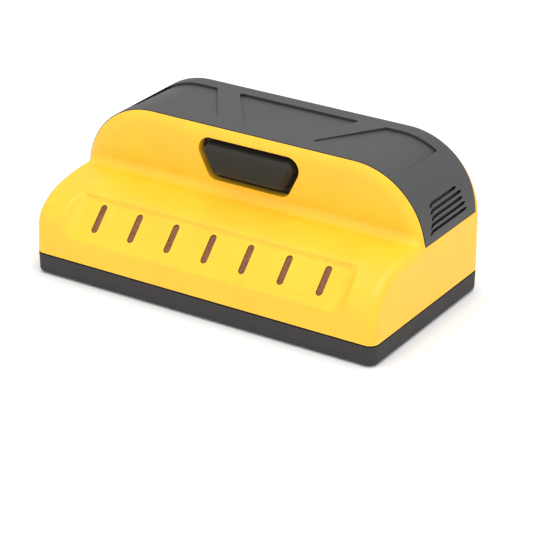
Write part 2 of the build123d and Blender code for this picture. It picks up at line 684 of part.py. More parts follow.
# ---- chips and small parts on the sensor board ----
def chip(centre, size, leads):
    """Flat package with a row of bent-down leads on its two long sides."""
    x, y = centre
    sx, sy, sz = size
    lx, ly, lz = CHIP_LEAD
    body = Pos(x, y, BOARD_TOP + lz / 2 + sz / 2) * Box(sx, sy, sz)
    body = chamfer(body.faces().sort_by(Axis.Z)[-1].edges(), CHIP_BEVEL)
    pitch = sx / (leads + 1)
    for i in range(leads):
        for side in (-1, 1):
            lead_x = x - sx / 2 + pitch * (i + 1)
            lead_y = y + side * (sy / 2 + ly / 2 - CHIP_ROOT)
            body += Pos(lead_x, lead_y, BOARD_TOP + lz / 2) * Box(lx, ly + 2 * CHIP_ROOT, lz)
    return body


def make_chips():
    return [chip(CHIP_AT, CHIP, CHIP_LEADS), chip(DRIVER_AT, DRIVER, CHIP_LEADS // 2)]


def make_capacitors():
    r, h = CAP
    cans = []
    for x, y in CAP_AT:
        can = rod(x, y, BOARD_TOP, BOARD_TOP + h, r)
        cans.append(fillet(can.edges().group_by(Axis.Z)[-1], CAP_EDGE_R))
    return cans


def make_crystal():
    x, y = CRYSTAL_AT
    sx, sy, sz = CRYSTAL
    can = Pos(x, y, BOARD_TOP + sz / 2) * extrude(SlotOverall(sx, sy), amount=sz / 2, both=True)
    return fillet(can.edges().group_by(Axis.Z)[-1], CRYSTAL_EDGE_R)


def make_buzzer():
    x, y = BUZZER_AT
    r, h = BUZZER
    body = rod(x, y, BOARD_TOP, BOARD_TOP + h, r)
    body = fillet(body.edges().group_by(Axis.Z)[-1], BUZZER_EDGE_R)
    hole_r, deep = BUZZER_HOLE
    return body - rod(x, y, BOARD_TOP + h - deep, BOARD_TOP + h + 1, hole_r)


def make_sockets():
    """Ribbon socket and battery-lead socket."""
    sx, sy, sz = SOCKET
    ribbon = Pos(RIBBON_X, SOCKET_Y, BOARD_TOP + sz / 2) * Box(sx, sy, sz)
    ribbon -= Pos(RIBBON_X, SOCKET_Y, BOARD_TOP + sz) * Box(
        RIBBON_W + SOCKET_SLOT[0], RIBBON_T + SOCKET_SLOT[1], 2 * RIBBON_PLUG)
    px, py, pz = LEAD_SOCKET
    x, y = LEAD_SOCKET_AT
    power = Pos(x, y, BOARD_TOP + pz / 2) * Box(px, py, pz)
    power = chamfer(power.faces().sort_by(Axis.Z)[-1].edges(), LEAD_SOCKET_BEVEL)
    return [ribbon, power]


# ---- lamps ----
def make_lens():
    """Red strip under the panel with one lug up through each slot."""
    half = lamp_xs()[-1] + SLOT_WIDTH / 2 + LENS_MARGIN
    strip = Box(2 * half, LENS_BASE_W, LENS_BASE_T, align=STANDING)
    lens = on_panel(LENS_LOW, 0, SLOT_UP, strip)
    for x in lamp_xs():
        lens += slot_bar(LENS_LOW, -LENS_SINK, x, RUN_GAP)
    for x in post_xs():
        lens -= on_panel(LENS_LOW - 1, x, SLOT_UP, Cylinder(POST_R + RUN_GAP, 6))
    return lens


def make_leds():
    """Square lamp packages with a small dome, one under each slot."""
    lamps = []
    dome_r, dome_h = LED_DOME
    for x in lamp_xs():
        body = Box(*LED_SIZE, LED_H - dome_h, align=STANDING)
        body += Pos(0, 0, LED_H - dome_h) * Cylinder(dome_r, dome_h, align=STANDING)
        lamps.append(on_panel(LED_BOARD_LIFT, x, SLOT_UP, body))
    return lamps


def make_led_board():
    half = post_xs()[-1] + POST_R + POST_EDGE
    plate = Box(2 * half, LED_BOARD_W, LED_BOARD_T, align=(Align.CENTER, Align.CENTER, Align.MAX))
    plate = fillet(plate.edges().filter_by(Axis.Z), LED_BOARD_R)
    board = on_panel(LED_BOARD_LIFT, 0, SLOT_UP, plate)
    for x in post_xs():
        board -= on_panel(LED_BOARD_LIFT, x, SLOT_UP, Cylinder(SMALL_SCREW_R + RUN_GAP, 6))
    return board


def make_led_screws():
    bolt = screw(SMALL_HEAD, SMALL_SCREW_R, LED_BOARD_T + LED_SCREW_GRIP)
    return [on_panel(LED_BOARD_LIFT - LED_BOARD_T, x, SLOT_UP, bolt) for x in post_xs()]


def make_ribbon():
    """Flat cable from the underside of the lamp board down into its socket on the sensor board."""
    tilt = radians(PANEL_ANGLE)
    frame = panel_plane(LED_BOARD_LIFT - LED_BOARD_T)
    start = frame.origin + frame.y_dir * (SLOT_UP + LED_BOARD_W / 4)
    out = Vector(0, sin(tilt), -cos(tilt))
    p0 = start
    p1 = start + out * RIBBON_OUT
    p3 = Vector(0, SOCKET_Y, BOARD_TOP + SOCKET[2] - RIBBON_PLUG)
    p2 = Vector(0, SOCKET_Y, p1.Z)
    route = FilletPolyline((p0.Y, p0.Z), (p1.Y, p1.Z), (p2.Y, p2.Z), (p3.Y, p3.Z), radius=RIBBON_RADII)
    band = offset(route, amount=RIBBON_T / 2, side=Side.LEFT, closed=True)
    with BuildSketch(Plane.YZ.offset(RIBBON_X - RIBBON_W / 2)) as strip:
        add(make_face(band))
    return extrude(strip.sketch, amount=RIBBON_W)


# ---- button, switch and springs ----
def make_bezel():
    """Dark plate that closes the recess behind its wall, with the hole that the key runs in."""
    plate = button_slab(RECESS_Y, RECESS_Y + BEZEL_T, -BEZEL_FLANGE)
    plate &= hump_prism(-HUMP_IN - RUN_GAP, FACE_Y, REAR_Y)
    return plate - button_slab(RECESS_Y - 1, RECESS_Y + BEZEL_T + 1, KEY_IN - KEY_GAP)


def make_key():
    """Bevelled key with a flange behind the bezel, a stem for the switch and a stub inside each spring."""
    front = FACE_Y - KEY_PROUD
    key = button_slab(front, KEY_BACK_Y, KEY_IN)
    rim = [e for e in key.edges() if abs(e.center().Y - front) < 1e-3]
    key = chamfer(rim, KEY_BEVEL)
    soft = [e for e in key.edges() if e.center().Y < front + KEY_BEVEL + NEAR]
    key = fillet(soft, KEY_SOFT_R)
    key += button_slab(KEY_BACK_Y, KEY_REAR_Y, KEY_IN - KEY_GAP - KEY_FLANGE)
    key += rod_y(0, BUTTON_Z, KEY_REAR_Y - SINK, STEM_END_Y, STEM_R)
    for x in (-SPRING_X, SPRING_X):
        key += rod_y(x, BUTTON_Z, KEY_REAR_Y - SINK, KEY_REAR_Y + SPRING_GUIDE, SPRING_R - 2 * SPRING_WIRE_R)
    return key


def make_springs():
    """Two coil springs between the key and the switch board."""
    y0 = KEY_REAR_Y + SPRING_WIRE_R + SPRING_EASE
    y1 = SWITCH_BOARD_Y - SPRING_WIRE_R - SPRING_EASE
    pitch = (y1 - y0) / SPRING_TURNS
    coils = []
    for x in (-SPRING_X, SPRING_X):
        path = Helix(pitch=pitch, height=y1 - y0, radius=SPRING_R)
        section = Plane(origin=path @ 0, z_dir=path % 0) * Circle(SPRING_WIRE_R)
        coil = sweep(section, path=path, is_frenet=True)
        coils.append(Pos(x, y0, BUTTON_Z) * Rot(-90, 0, 0) * coil)
    return coils


def make_switch_body():
    half = SWITCH_SIDE / 2
    body = block(-half, half, SWITCH_Y, SWITCH_BOARD_Y, BUTTON_Z - half, BUTTON_Z + half)
    body = chamfer(body.edges().filter_by(Axis.Y), SWITCH_BEVEL)
    depth = PLUNGER_Y + PLUNGER_LENGTH + BUTTON_TRAVEL + PLUNGER_SPARE
    return body - rod_y(0, BUTTON_Z, SWITCH_Y - 1, depth, PLUNGER_R + THREAD_GAP)


def make_plunger():
    plunger = rod_y(0, BUTTON_Z, PLUNGER_Y, PLUNGER_Y + PLUNGER_LENGTH, PLUNGER_R)
    return fillet(plunger.edges().sort_by(Axis.Y)[0], PLUNGER_EDGE_R)


def make_switch_board():
    sx, sz, sy = SWITCH_BOARD
    board = block(-sx / 2, sx / 2, SWITCH_BOARD_Y, SWITCH_BOARD_Y + sy, BUTTON_Z - sz / 2, BUTTON_Z + sz / 2)
    board = fillet(board.edges().filter_by(Axis.Y), SWITCH_BOARD_R)
    for x in (-SWITCH_POST_X, SWITCH_POST_X):
        board -= rod_y(x, BUTTON_Z, 0, FAR, SMALL_SCREW_R + RUN_GAP)
    return board


def make_switch_screws():
    bolt = screw(SMALL_HEAD, SMALL_SCREW_R, SWITCH_BOARD[2] + SWITCH_SCREW_GRIP)
    seat = SWITCH_BOARD_Y + SWITCH_BOARD[2]
    return [Pos(x, seat, BUTTON_Z) * Rot(90, 0, 0) * bolt for x in (-SWITCH_POST_X, SWITCH_POST_X)]


# ---- battery bay ----
def make_holder():
    """Tray open to the rear, with a half-round cradle behind each cell."""
    x, z = BAY_HALF_X, BAY_HALF_Z
    w = HOLDER_WALL
    mid = HOLDER_MID_Z
    tray = block(-x - w, x + w, BAY_FRONT_Y - w, REAR_IN, mid - z - w, mid + z + w)
    room = block(-x, x, CELL_Y, REAR_IN + 1, mid - z, mid + z)
    for cell_z in cell_zs():
        cradle = Pos(0, CELL_Y, cell_z) * Rot(0, 90, 0) * Cylinder(CELL_R + HOLDER_FLOOR_GAP / 2, 2 * x)
        room += cradle
    for end in (-x, x - CONTACT_T):
        room += block(end, end + CONTACT_T, CELL_Y - CONTACT_REACH - THREAD_GAP, CELL_Y + 1, mid - z, mid + z)
    tray -= room
    beside, depth, inside = HOLDER_NOTCH
    notch = REAR_IN - depth
    for side in (-1, 1):
        toe_x = side * TOE_X
        half = TOE[0] / 2 + beside
        tray -= block(toe_x - half, toe_x + half, notch, REAR_IN + 1, mid - z - w - 1, mid - z + inside)
    half = LATCH_W / 2 + beside
    tray -= block(-half, half, notch, REAR_IN + 1, mid + z - inside, mid + z + w + 1)
    return tray


def make_cells():
    cells = []
    r, h = CELL_NIPPLE
    for z, side in zip(cell_zs(), cell_sides()):
        x0 = -BAY_HALF_X + CONTACT_T + CELL_ROOM
        can = Pos(x0 + CELL_LENGTH / 2, 0, 0) * Rot(0, 90, 0) * Cylinder(CELL_R, CELL_LENGTH)
        can = fillet(can.edges(), CELL_EDGE_R)
        can += Pos(x0 + CELL_LENGTH + h / 2, 0, 0) * Rot(0, 90, 0) * Cylinder(r, h)
        cell = can if side > 0 else Rot(0, 0, 180) * can
        cells.append(Pos(0, CELL_Y, z) * cell)
    return cells


def make_contact_springs():
    """Conical coil at the negative end of each cell, drawn as a tapering helix."""
    springs = []
    r, wire_r, turns = CONTACT_SPRING
    for z, side in zip(cell_zs(), cell_sides()):
        height = CELL_ROOM - 2 * wire_r - 2 * THREAD_GAP
        path = Helix(pitch=height / turns, height=height, radius=r, cone_angle=-20)
        section = Plane(origin=path @ 0, z_dir=path % 0) * Circle(wire_r)
        coil = sweep(section, path=path, is_frenet=True)
        coil = Pos(-BAY_HALF_X + CONTACT_T + wire_r + THREAD_GAP, 0, 0) * Rot(0, 90, 0) * coil
        coil = coil if side > 0 else Rot(0, 0, 180) * coil
        springs.append(Pos(0, CELL_Y, z) * coil)
    return springs


def make_contacts():
    """Sprung-brass plates at the cell ends: one bridge, two single tabs."""
    r = CONTACT_REACH
    low, high = cell_zs()
    x = BAY_HALF_X
    bridge = block(x - CONTACT_T, x, CELL_Y - r, CELL_Y + r, low - r, high + r)
    tabs = [block(-x, -x + CONTACT_T, CELL_Y - r, CELL_Y + r, z - r, z + r) for z in (low, high)]
    return [bridge, *tabs]


def make_door():
    """Flush door with a round foot to turn on, toes behind the wall, a latch nib and a ribbed thumb grip."""
    y_in = REAR_Y - DOOR[2]
    pivot_y, pivot_z = REAR_Y - DOOR_PIVOT, DOOR_FOOT_Z + DOOR_PIVOT
    turning = Pos(0, pivot_y, pivot_z) * Rot(0, 90, 0) * Cylinder(DOOR_PIVOT, DOOR[0])
    upper = block(-DOOR[0], DOOR[0], y_in, REAR_Y, pivot_z, DOOR_TOP_Z)
    door = slab(door_plan(y_in, 0), y_in, REAR_Y) & (upper + turning)
    behind = REAR_IN - TOUCH_GAP
    width, reach, thick = TOE
    for x in (-TOE_X, TOE_X):
        toe = block(x - width / 2, x + width / 2, behind - thick, behind, DOOR_FOOT_Z - reach, pivot_z + 1)
        neck = block(x - width / 2, x + width / 2, behind - thick, y_in + SINK, pivot_z - SINK, pivot_z + 1)
        door += toe + neck
    arm, hook = NIB
    foot = DOOR_TOP_Z - NIB_DROP
    door += block(-LATCH_W / 2, LATCH_W / 2, behind - hook, y_in + SINK, foot, foot + arm)
    door += block(-LATCH_W / 2, LATCH_W / 2, behind - hook, behind, foot, DOOR_TOP_Z - TOUCH_GAP)
    pitch, deep, groove = GRIP
    for i in range(GRIP_COUNT):
        z = DOOR_TOP_Z - GRIP_DROP - pitch * i
        door -= Pos(0, REAR_Y, z) * Box(LATCH_W - GRIP_TAPER * i, 2 * deep, groove)
    return door


# ---- leads ----
def lead(x, rise):
    """Insulated wire from the holder's front wall down to its socket, along straight runs and arcs."""
    y0 = BAY_FRONT_Y - HOLDER_WALL
    z0 = HOLDER_MID_Z + rise
    plug_y = LEAD_SOCKET_AT[1]
    z_plug = BOARD_TOP + LEAD_SOCKET[2]
    lean_y, lean_z = LEAD_LEAN
    route = FilletPolyline(
        (x, y0, z0), (x, y0 - LEAD_OUT, z0), (x, plug_y - lean_y, z_plug + lean_z),
        (x, plug_y, z_plug + LEAD_DROP), (x, plug_y, z_plug), radius=LEAD_RADII)
    section = Plane(origin=route @ 0, z_dir=route % 0) * Circle(WIRE_R)
    return sweep(section, path=route)


def make_leads():
    return [lead(x, rise) for x, rise in zip(LEAD_XS, LEAD_RISES)]


def build():
    nodes["base_plate"] = make_base()
    nodes["glide_pads"] = make_pads()
    nodes["housing"] = make_housing()
    nodes["top_cover"] = make_cover()
    nodes["cover_clips"] = make_cover_clips()
    nodes["button_bezel"] = make_bezel()
    nodes["button_key"] = make_key()
    nodes["button_springs"] = make_springs()
    nodes["switch_body"] = make_switch_body()
    nodes["switch_plunger"] = make_plunger()
    nodes["switch_board"] = make_switch_board()
    nodes["switch_screws"] = make_switch_screws()
    nodes["lamp_lens"] = make_lens()
    nodes["leds"] = make_leds()
    nodes["lamp_board"] = make_led_board()
    nodes["lamp_board_screws"] = make_led_screws()
    nodes["ribbon_cable"] = make_ribbon()
    nodes["sensor_board"] = make_sensor_board()
    nodes["sensor_plates"] = make_sensor_plates()
    nodes["control_chips"] = make_chips()
    nodes["capacitors"] = make_capacitors()
    nodes["crystal"] = make_crystal()
    nodes["buzzer"] = make_buzzer()
    nodes["board_sockets"] = make_sockets()
    nodes["board_screws"] = make_board_screws()
    nodes["case_screws"] = make_case_screws()
    nodes["battery_holder"] = make_holder()
    nodes["battery_lower"], nodes["battery_upper"] = make_cells()
    nodes["battery_springs"] = make_contact_springs()
    nodes["battery_contacts"] = make_contacts()
    nodes["battery_door"] = make_door()
    nodes["lead_red"], nodes["lead_black"] = make_leads()


build()
os.makedirs("parts", exist_ok=True)
for name, shape in nodes.items():
    shape = Compound(children=list(shape)) if isinstance(shape, (list, tuple)) else shape
    export_step(shape, f"parts/{name}.step")
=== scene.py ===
"""Looks of the stud finder: finishes for its moulded and metal parts, and its finer pieces.

Metres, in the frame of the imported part: +X along the length, -Y the lamp side, +Z up.
"""
import json

import bmesh
import bpy
import numpy as np
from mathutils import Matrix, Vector


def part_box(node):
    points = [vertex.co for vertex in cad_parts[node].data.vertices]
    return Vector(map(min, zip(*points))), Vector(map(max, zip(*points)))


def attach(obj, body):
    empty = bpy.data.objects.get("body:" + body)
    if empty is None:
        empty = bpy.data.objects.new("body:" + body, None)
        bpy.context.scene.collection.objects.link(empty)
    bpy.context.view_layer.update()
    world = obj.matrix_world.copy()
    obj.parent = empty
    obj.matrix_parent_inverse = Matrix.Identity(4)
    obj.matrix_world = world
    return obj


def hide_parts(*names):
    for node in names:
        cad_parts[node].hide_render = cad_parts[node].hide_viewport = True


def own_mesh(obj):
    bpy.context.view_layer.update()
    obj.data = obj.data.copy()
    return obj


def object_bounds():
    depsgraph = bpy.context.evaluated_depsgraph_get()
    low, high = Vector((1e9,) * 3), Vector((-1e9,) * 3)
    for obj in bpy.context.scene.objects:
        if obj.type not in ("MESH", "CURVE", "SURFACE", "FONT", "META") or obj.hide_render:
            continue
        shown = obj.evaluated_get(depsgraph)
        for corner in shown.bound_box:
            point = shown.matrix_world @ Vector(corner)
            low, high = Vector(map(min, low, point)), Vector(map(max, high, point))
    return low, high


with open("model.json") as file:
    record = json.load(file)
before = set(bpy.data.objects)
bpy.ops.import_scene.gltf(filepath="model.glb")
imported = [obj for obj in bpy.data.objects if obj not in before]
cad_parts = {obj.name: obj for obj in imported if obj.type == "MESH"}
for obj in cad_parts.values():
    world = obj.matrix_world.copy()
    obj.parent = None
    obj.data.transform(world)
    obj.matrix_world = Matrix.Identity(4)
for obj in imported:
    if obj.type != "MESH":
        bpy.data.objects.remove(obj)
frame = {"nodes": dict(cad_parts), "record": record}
CAD_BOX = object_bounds()
MM = 0.001
WELD = 0.0005 * MM        # points nearer than this are one point

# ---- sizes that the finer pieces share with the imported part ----
SPRING_WIRE = 0.25 * MM   # radius of the wire
PAD_LENGTH = 60.0 * MM
PAD_WIDTH = 9.0 * MM
LAMP_BOARD_WIDTH = 15.0 * MM
LAMP_BOARD_THICK = 1.2 * MM
RIBBON_THICK = 0.9 * MM
RIBBON_OUT = 7.0 * MM     # how far the ribbon runs straight off the lamp board

# ---- button springs ----
COIL_TURNS = 7.0
COIL_FLAT_TURNS = 0.9     # the part of them that lies flat at each end
COIL_STEPS = 420
COIL_SIDES = 10

# ---- felt pads ----
PAD_PROFILE = (           # mm in from the edge, share of the height: underside, edge, top
    (3.2, 0.0), (2.0, 0.0), (1.0, 0.0), (0.4, 0.0), (0.1, 0.06), (0.0, 0.25),
    (0.0, 0.7), (0.1, 1.0), (1.6, 1.0),
)
PAD_CORNER = 0.9 * MM
PAD_STEPS = 360
PAD_SIDE_SHARPNESS = (1.6, 4.8)   # how soon the outline runs straight, along and across
PAD_EDGE = 0.5 * MM       # rings nearer to the edge than this have the longer fibres
PAD_FUZZ = (0.07, 0.02)   # mm, at the edge and on the faces
PAD_SEED = 11

# ---- ribbon cable ----
RIBBON_CORES = 12
RIBBON_CORE_STEPS = 6
RIBBON_BEND_STEPS = 24
RIBBON_WEB = 0.62         # thickness between two cores, as a share of the thickness on one
RIBBON_ROUNDNESS = 0.6    # power of the sine that shapes a core

# ---- battery cells ----
CELL_PROFILE = (          # mm along the cell, share of its radius: flat end, sleeve, raised button
    (0.0, 0.0), (0.0, 0.55), (0.25, 0.62), (0.25, 0.80), (0.05, 0.88), (0.15, 0.955), (0.55, 1.0),
    (12.0, 1.0), (12.05, 0.992), (12.15, 0.992), (12.2, 1.0), (36.0, 1.0), (48.3, 1.0),
    (48.85, 0.965), (49.15, 0.90), (48.95, 0.82), (49.05, 0.55), (49.1, 0.385), (49.9, 0.375),
    (50.3, 0.33), (50.4, 0.0),
)
CELL_SLEEVE_RINGS = (4, 14)   # first and last ring of faces that the sleeve covers
CELL_STEPS = 72

# ---- chip resistors, in mm ----
RESISTOR_ROWS = (-22.0, -19.0, 4.0, 7.0)
RESISTOR_ALONG = (-60.0, 40.0, 6.5)       # first place, end and pitch of a row
RESISTOR_GAP = (-45.0, 9.0, -12.0)        # bare board: its middle, half its length and its rear
RESISTOR_PARTS = (        # place along the chip, size, finish: the ceramic and its two tinned ends
    (0.0, (1.1, 0.8, 0.45), 0),
    (-0.7, (0.35, 0.82, 0.5), 1),
    (0.7, (0.35, 0.82, 0.5), 1),
)

# ---- viewpoint, floor and lights ----
CAMERA_AT = (0.5206, -0.8027, 0.4629)
CAMERA_TOWARDS = (-0.4871, 0.7597, -0.4304)
CAMERA_LENS = 158.6       # mm
CAMERA_SENSOR = 36.0      # mm
FLOOR_HALF = 4.0
FLOOR_COLOUR = (0.92, 0.92, 0.92)
FLOOR_ROUGHNESS = 0.9
SKY_COLOUR = (1.0, 1.0, 1.0)
SKY_STRENGTH = 0.83
LIGHTS = {                # place, size and power of each soft light; all aim at the object
    "overhead": ((0.15, -0.10, 1.30), 1.10, 9.6),
    "right": ((1.10, -0.50, 0.65), 0.80, 2.2),
    "front": ((-0.55, -1.20, 0.60), 0.90, 2.2),
}

# ---- colours of the finishes, by material slot ----
COLOURS = {
    "yellow_case": (0.94, 0.535, 0.022),
    "dark_base": (0.042, 0.039, 0.040),
    "dark_cover": (0.060, 0.060, 0.061),
    "dark_trim": (0.014, 0.013, 0.013),
    "button_rubber": (0.022, 0.021, 0.016),
    "pad_grey": (0.16, 0.16, 0.165),
    "red_lens": (0.230, 0.092, 0.034),
    "led_resin": (0.88, 0.86, 0.78),
    "board_green": (0.015, 0.115, 0.045),
    "plate_copper": (0.72, 0.36, 0.19),
    "black_package": (0.022, 0.022, 0.024),
    "red_plunger": (0.46, 0.025, 0.018),
    "can_aluminium": (0.74, 0.74, 0.76),
    "can_steel": (0.62, 0.62, 0.64),
    "socket_white": (0.74, 0.72, 0.64),
    "ribbon_grey": (0.36, 0.36, 0.37),
    "screw_steel": (0.56, 0.56, 0.57),
    "spring_steel": (0.62, 0.62, 0.61),
    "contact_metal": (0.72, 0.70, 0.64),
    "holder_black": (0.024, 0.024, 0.025),
    "cell_sleeve": (0.42, 0.19, 0.055),
    "red_insulation": (0.46, 0.018, 0.015),
    "black_insulation": (0.018, 0.018, 0.019),
}
# pale yellow of scuffs and of edges, the edges lightened partly by wear and partly by a painted
# highlight
WEAR_AND_HIGHLIGHT_YELLOW = (1.0, 0.74, 0.20)

# ---- patterns: how many there are to a metre ----
GRAIN_SCALE = 2600.0      # spark-eroded mould texture, about 0.4 mm
PEBBLE_SCALE = 3400.0     # soft-touch rubber
MOTTLE_SCALE = 70.0       # flow of the plastic in the mould
SCUFF_SCALE = 240.0
BRUSHING_SCALE = 900.0
STAIN_SCALE = 260.0
FIBRE_SCALE = 1500.0
LENS_CLOUD_SCALE = 420.0
LENS_SKIN_SCALE = 1800.0
MILK_SCALE = 900.0
WEAVE_SCALE = 1400.0
TRACK_SCALE = 160.0
BAND_SCALE = 500.0

# ---- how marks, wear, painted highlights and painted shade show ----
SCUFF_STRETCH = (1.0, 0.12, 0.6)
SCUFF_TURN = (0.2, 0.1, 0.5)
SCUFF_FADE = (0.62, 0.72)     # noise below the first leaves no mark, above the second a full one
SCUFF_SHARE = 0.10
SCUFF_TINT = 1.5
EDGE_FADE = (0.02, 0.25)      # 1 less the cosine of how far the rounded face turns
MOULDED_EDGE = 0.6 * MM
# how much moulded edges lighten: partly wear, partly painted highlight
MOULDED_EDGE_TINT = 1.9
METAL_EDGE = 0.2 * MM
METAL_EDGE_TINT = 1.25
OPEN_FADE = (0.25, 0.85)      # share of open air: painted shade in full below the first, none above the second
# painted shade: how dark gaps and recesses are painted, as a share of the colour
PAINTED_SHADE_TINT = 0.12
ROUGH_FADE = (0.3, 0.7)
BEVEL_SAMPLES = 4
OPEN_SAMPLES = 6

# A Mix node's colour sockets share their names with its other kinds, so they go by number.
MIX_FIRST, MIX_SECOND, MIX_RESULT = 6, 7, 2


# ---------------------------------------------------------------- node helpers
class Finish:
    """A material under construction: its node tree and its principled shader."""

    def __init__(self, name, roughness, **sockets):
        self.material = bpy.data.materials.new(name)
        self.material.use_nodes = True
        self.tree = self.material.node_tree
        self.shader = self.tree.nodes["Principled BSDF"]
        self.shader.inputs["Roughness"].default_value = roughness
        for socket, value in sockets.items():
            self.shader.inputs[socket.replace("_", " ")].default_value = value
        self.place = self.node("ShaderNodeTexCoord").outputs["Object"]

    def node(self, kind, **settings):
        made = self.tree.nodes.new(kind)
        for name, value in settings.items():
            setattr(made, name, value)
        return made

    def link(self, source, target):
        self.tree.links.new(source, target)

    def stretched(self, scale, turn=(0, 0, 0)):
        """The object's own coordinates, stretched and turned."""
        mapping = self.node("ShaderNodeMapping")
        mapping.inputs["Scale"].default_value = scale
        mapping.inputs["Rotation"].default_value = turn
        self.link(self.place, mapping.inputs["Vector"])
        return mapping.outputs["Vector"]

    def noise(self, scale, detail=2.0, roughness=0.5, place=None):
        made = self.node("ShaderNodeTexNoise")
        made.inputs["Scale"].default_value = scale
        made.inputs["Detail"].default_value = detail
        made.inputs["Roughness"].default_value = roughness
        self.link(place or self.place, made.inputs["Vector"])
        return made.outputs["Fac"]

    def fade(self, value, spread, ends=(0.0, 1.0)):
        """The first end below spread, the second above it, and a straight line between them."""
        made = self.node("ShaderNodeMapRange")
        for name, number in zip(("From Min", "From Max", "To Min", "To Max"), (*spread, *ends)):
            made.inputs[name].default_value = number
        self.link(value, made.inputs["Value"])
        return made.outputs["Result"]

    def math(self, operation, first, second):
        """An operation on two values, each a number or another node's output."""
        made = self.node("ShaderNodeMath", operation=operation)
        for socket, value in zip(made.inputs, (first, second)):
            if isinstance(value, (int, float)):
                socket.default_value = value
            else:
                self.link(value, socket)
        return made.outputs["Value"]

    def blend(self, amount, first, second):
        """Mix of two colours, each a tuple or another node's output."""
        made = self.node("ShaderNodeMix", data_type="RGBA")
        self.link(amount, made.inputs["Factor"])
        for number, value in ((MIX_FIRST, first), (MIX_SECOND, second)):
            if isinstance(value, tuple):
                made.inputs[number].default_value = (*value, 1.0)
            else:
                self.link(value, made.inputs[number])
        return made.outputs[MIX_RESULT]

    def two_tone(self, value, colour, tints, spread):
        """Two tints of a colour, mixed by a value as it crosses spread."""
        first, second = (tinted(colour, tint) for tint in tints)
        return self.blend(self.fade(value, spread), first, second)

    def edges(self, radius):
        """1 at sharp edges, where the faces turn within radius, and 0 on open faces."""
        rounded = self.node("ShaderNodeBevel", samples=BEVEL_SAMPLES)
        rounded.inputs["Radius"].default_value = radius
        plain = self.node("ShaderNodeNewGeometry").outputs["Normal"]
        facing = self.node("ShaderNodeVectorMath", operation="DOT_PRODUCT")
        self.link(rounded.outputs["Normal"], facing.inputs[0])
        self.link(plain, facing.inputs[1])
        return self.fade(self.math("SUBTRACT", 1.0, facing.outputs["Value"]), EDGE_FADE)

    def crevices(self, reach):
        """1 in narrow gaps and inner corners, 0 in the open: the mask for painted shade."""
        open_air = self.node("ShaderNodeAmbientOcclusion", samples=OPEN_SAMPLES, only_local=False)
        open_air.inputs["Distance"].default_value = reach
        return self.fade(open_air.outputs["AO"], OPEN_FADE, ends=(1.0, 0.0))

    def colour(self, value):
        self.link(value, self.shader.inputs["Base Color"])

    def rough(self, value, low, high):
        self.link(self.fade(value, ROUGH_FADE, ends=(low, high)), self.shader.inputs["Roughness"])

    def bump(self, height, distance, strength):
        made = self.node("ShaderNodeBump")
        made.inputs["Strength"].default_value = strength
        made.inputs["Distance"].default_value = distance
        self.link(height, made.inputs["Height"])
        self.link(made.outputs["Normal"], self.shader.inputs["Normal"])


def tinted(colour, factor):
    """A colour made darker or lighter by a factor."""
    return tuple(min(1.0, channel * factor) for channel in colour)


# ---------------------------------------------------------------- finishes
def moulded(name, colour, roughness, grain=0.02 * MM, grain_scale=GRAIN_SCALE, wear=0.25,
            worn_colour=None, dirt=0.0, dirt_reach=1.6 * MM, **sockets):
    """Moulded plastic: mould grain, faint mottling, scuffs, edges lightened partly by wear and
    partly by a painted highlight, and painted shade in the gaps.
    """
    finish = Finish(name, roughness, **sockets)
    mottle = finish.noise(MOTTLE_SCALE, detail=4.0)
    tone = finish.two_tone(mottle, colour, tints=(0.965, 1.03), spread=(0.35, 0.65))
    drawn_out = finish.stretched(SCUFF_STRETCH, turn=SCUFF_TURN)
    scratches = finish.noise(SCUFF_SCALE, detail=5.0, place=drawn_out)
    scuffs = finish.fade(scratches, SCUFF_FADE, ends=(0.0, SCUFF_SHARE))
    tone = finish.blend(scuffs, tone, worn_colour or tinted(colour, SCUFF_TINT))
    # edges lightened partly by wear and partly by a painted highlight
    worn_and_lit_edges = finish.math("MULTIPLY", finish.edges(MOULDED_EDGE), wear)
    tone = finish.blend(worn_and_lit_edges, tone, worn_colour or tinted(colour, MOULDED_EDGE_TINT))
    # painted shade: the colour darkens in gaps, recesses and inner corners, where shade falls
    if dirt:
        painted_shade_mask = finish.math("MULTIPLY", finish.crevices(dirt_reach), dirt)
        tone = finish.blend(painted_shade_mask, tone, tinted(colour, PAINTED_SHADE_TINT))
    finish.colour(tone)
    grains = finish.noise(grain_scale, detail=3.0, roughness=0.6)
    finish.rough(mottle, roughness - 0.04, roughness + 0.05)
    finish.bump(grains, distance=grain, strength=0.6)
    return finish.material


def rubber(name, colour):
    """Soft-touch rubber: matt, with a very fine pebble and edges paled partly by handling and
    partly by a painted highlight.
    """
    return moulded(name, colour, roughness=0.62, grain=0.016 * MM, grain_scale=PEBBLE_SCALE,
                   wear=0.35, worn_colour=tinted(colour, SCUFF_TINT), Specular_IOR_Level=0.25,
                   Sheen_Weight=0.05, Sheen_Roughness=0.5)


def metal(name, colour, roughness, brush=(1.0, 1.0, 1.0), stain=0.9):
    """Plated or drawn metal: stretched brushing, faint stains and bright edges."""
    finish = Finish(name, roughness, Metallic=1.0)
    lines = finish.noise(BRUSHING_SCALE, detail=4.0, place=finish.stretched(brush))
    clouds = finish.noise(STAIN_SCALE, detail=3.0)
    tone = finish.two_tone(clouds, colour, tints=(1.0, stain), spread=(0.4, 0.7))
    finish.colour(finish.blend(finish.edges(METAL_EDGE), tone, tinted(colour, METAL_EDGE_TINT)))
    finish.rough(lines, roughness - 0.08, roughness + 0.10)
    finish.bump(lines, distance=0.006 * MM, strength=0.5)
    return finish.material


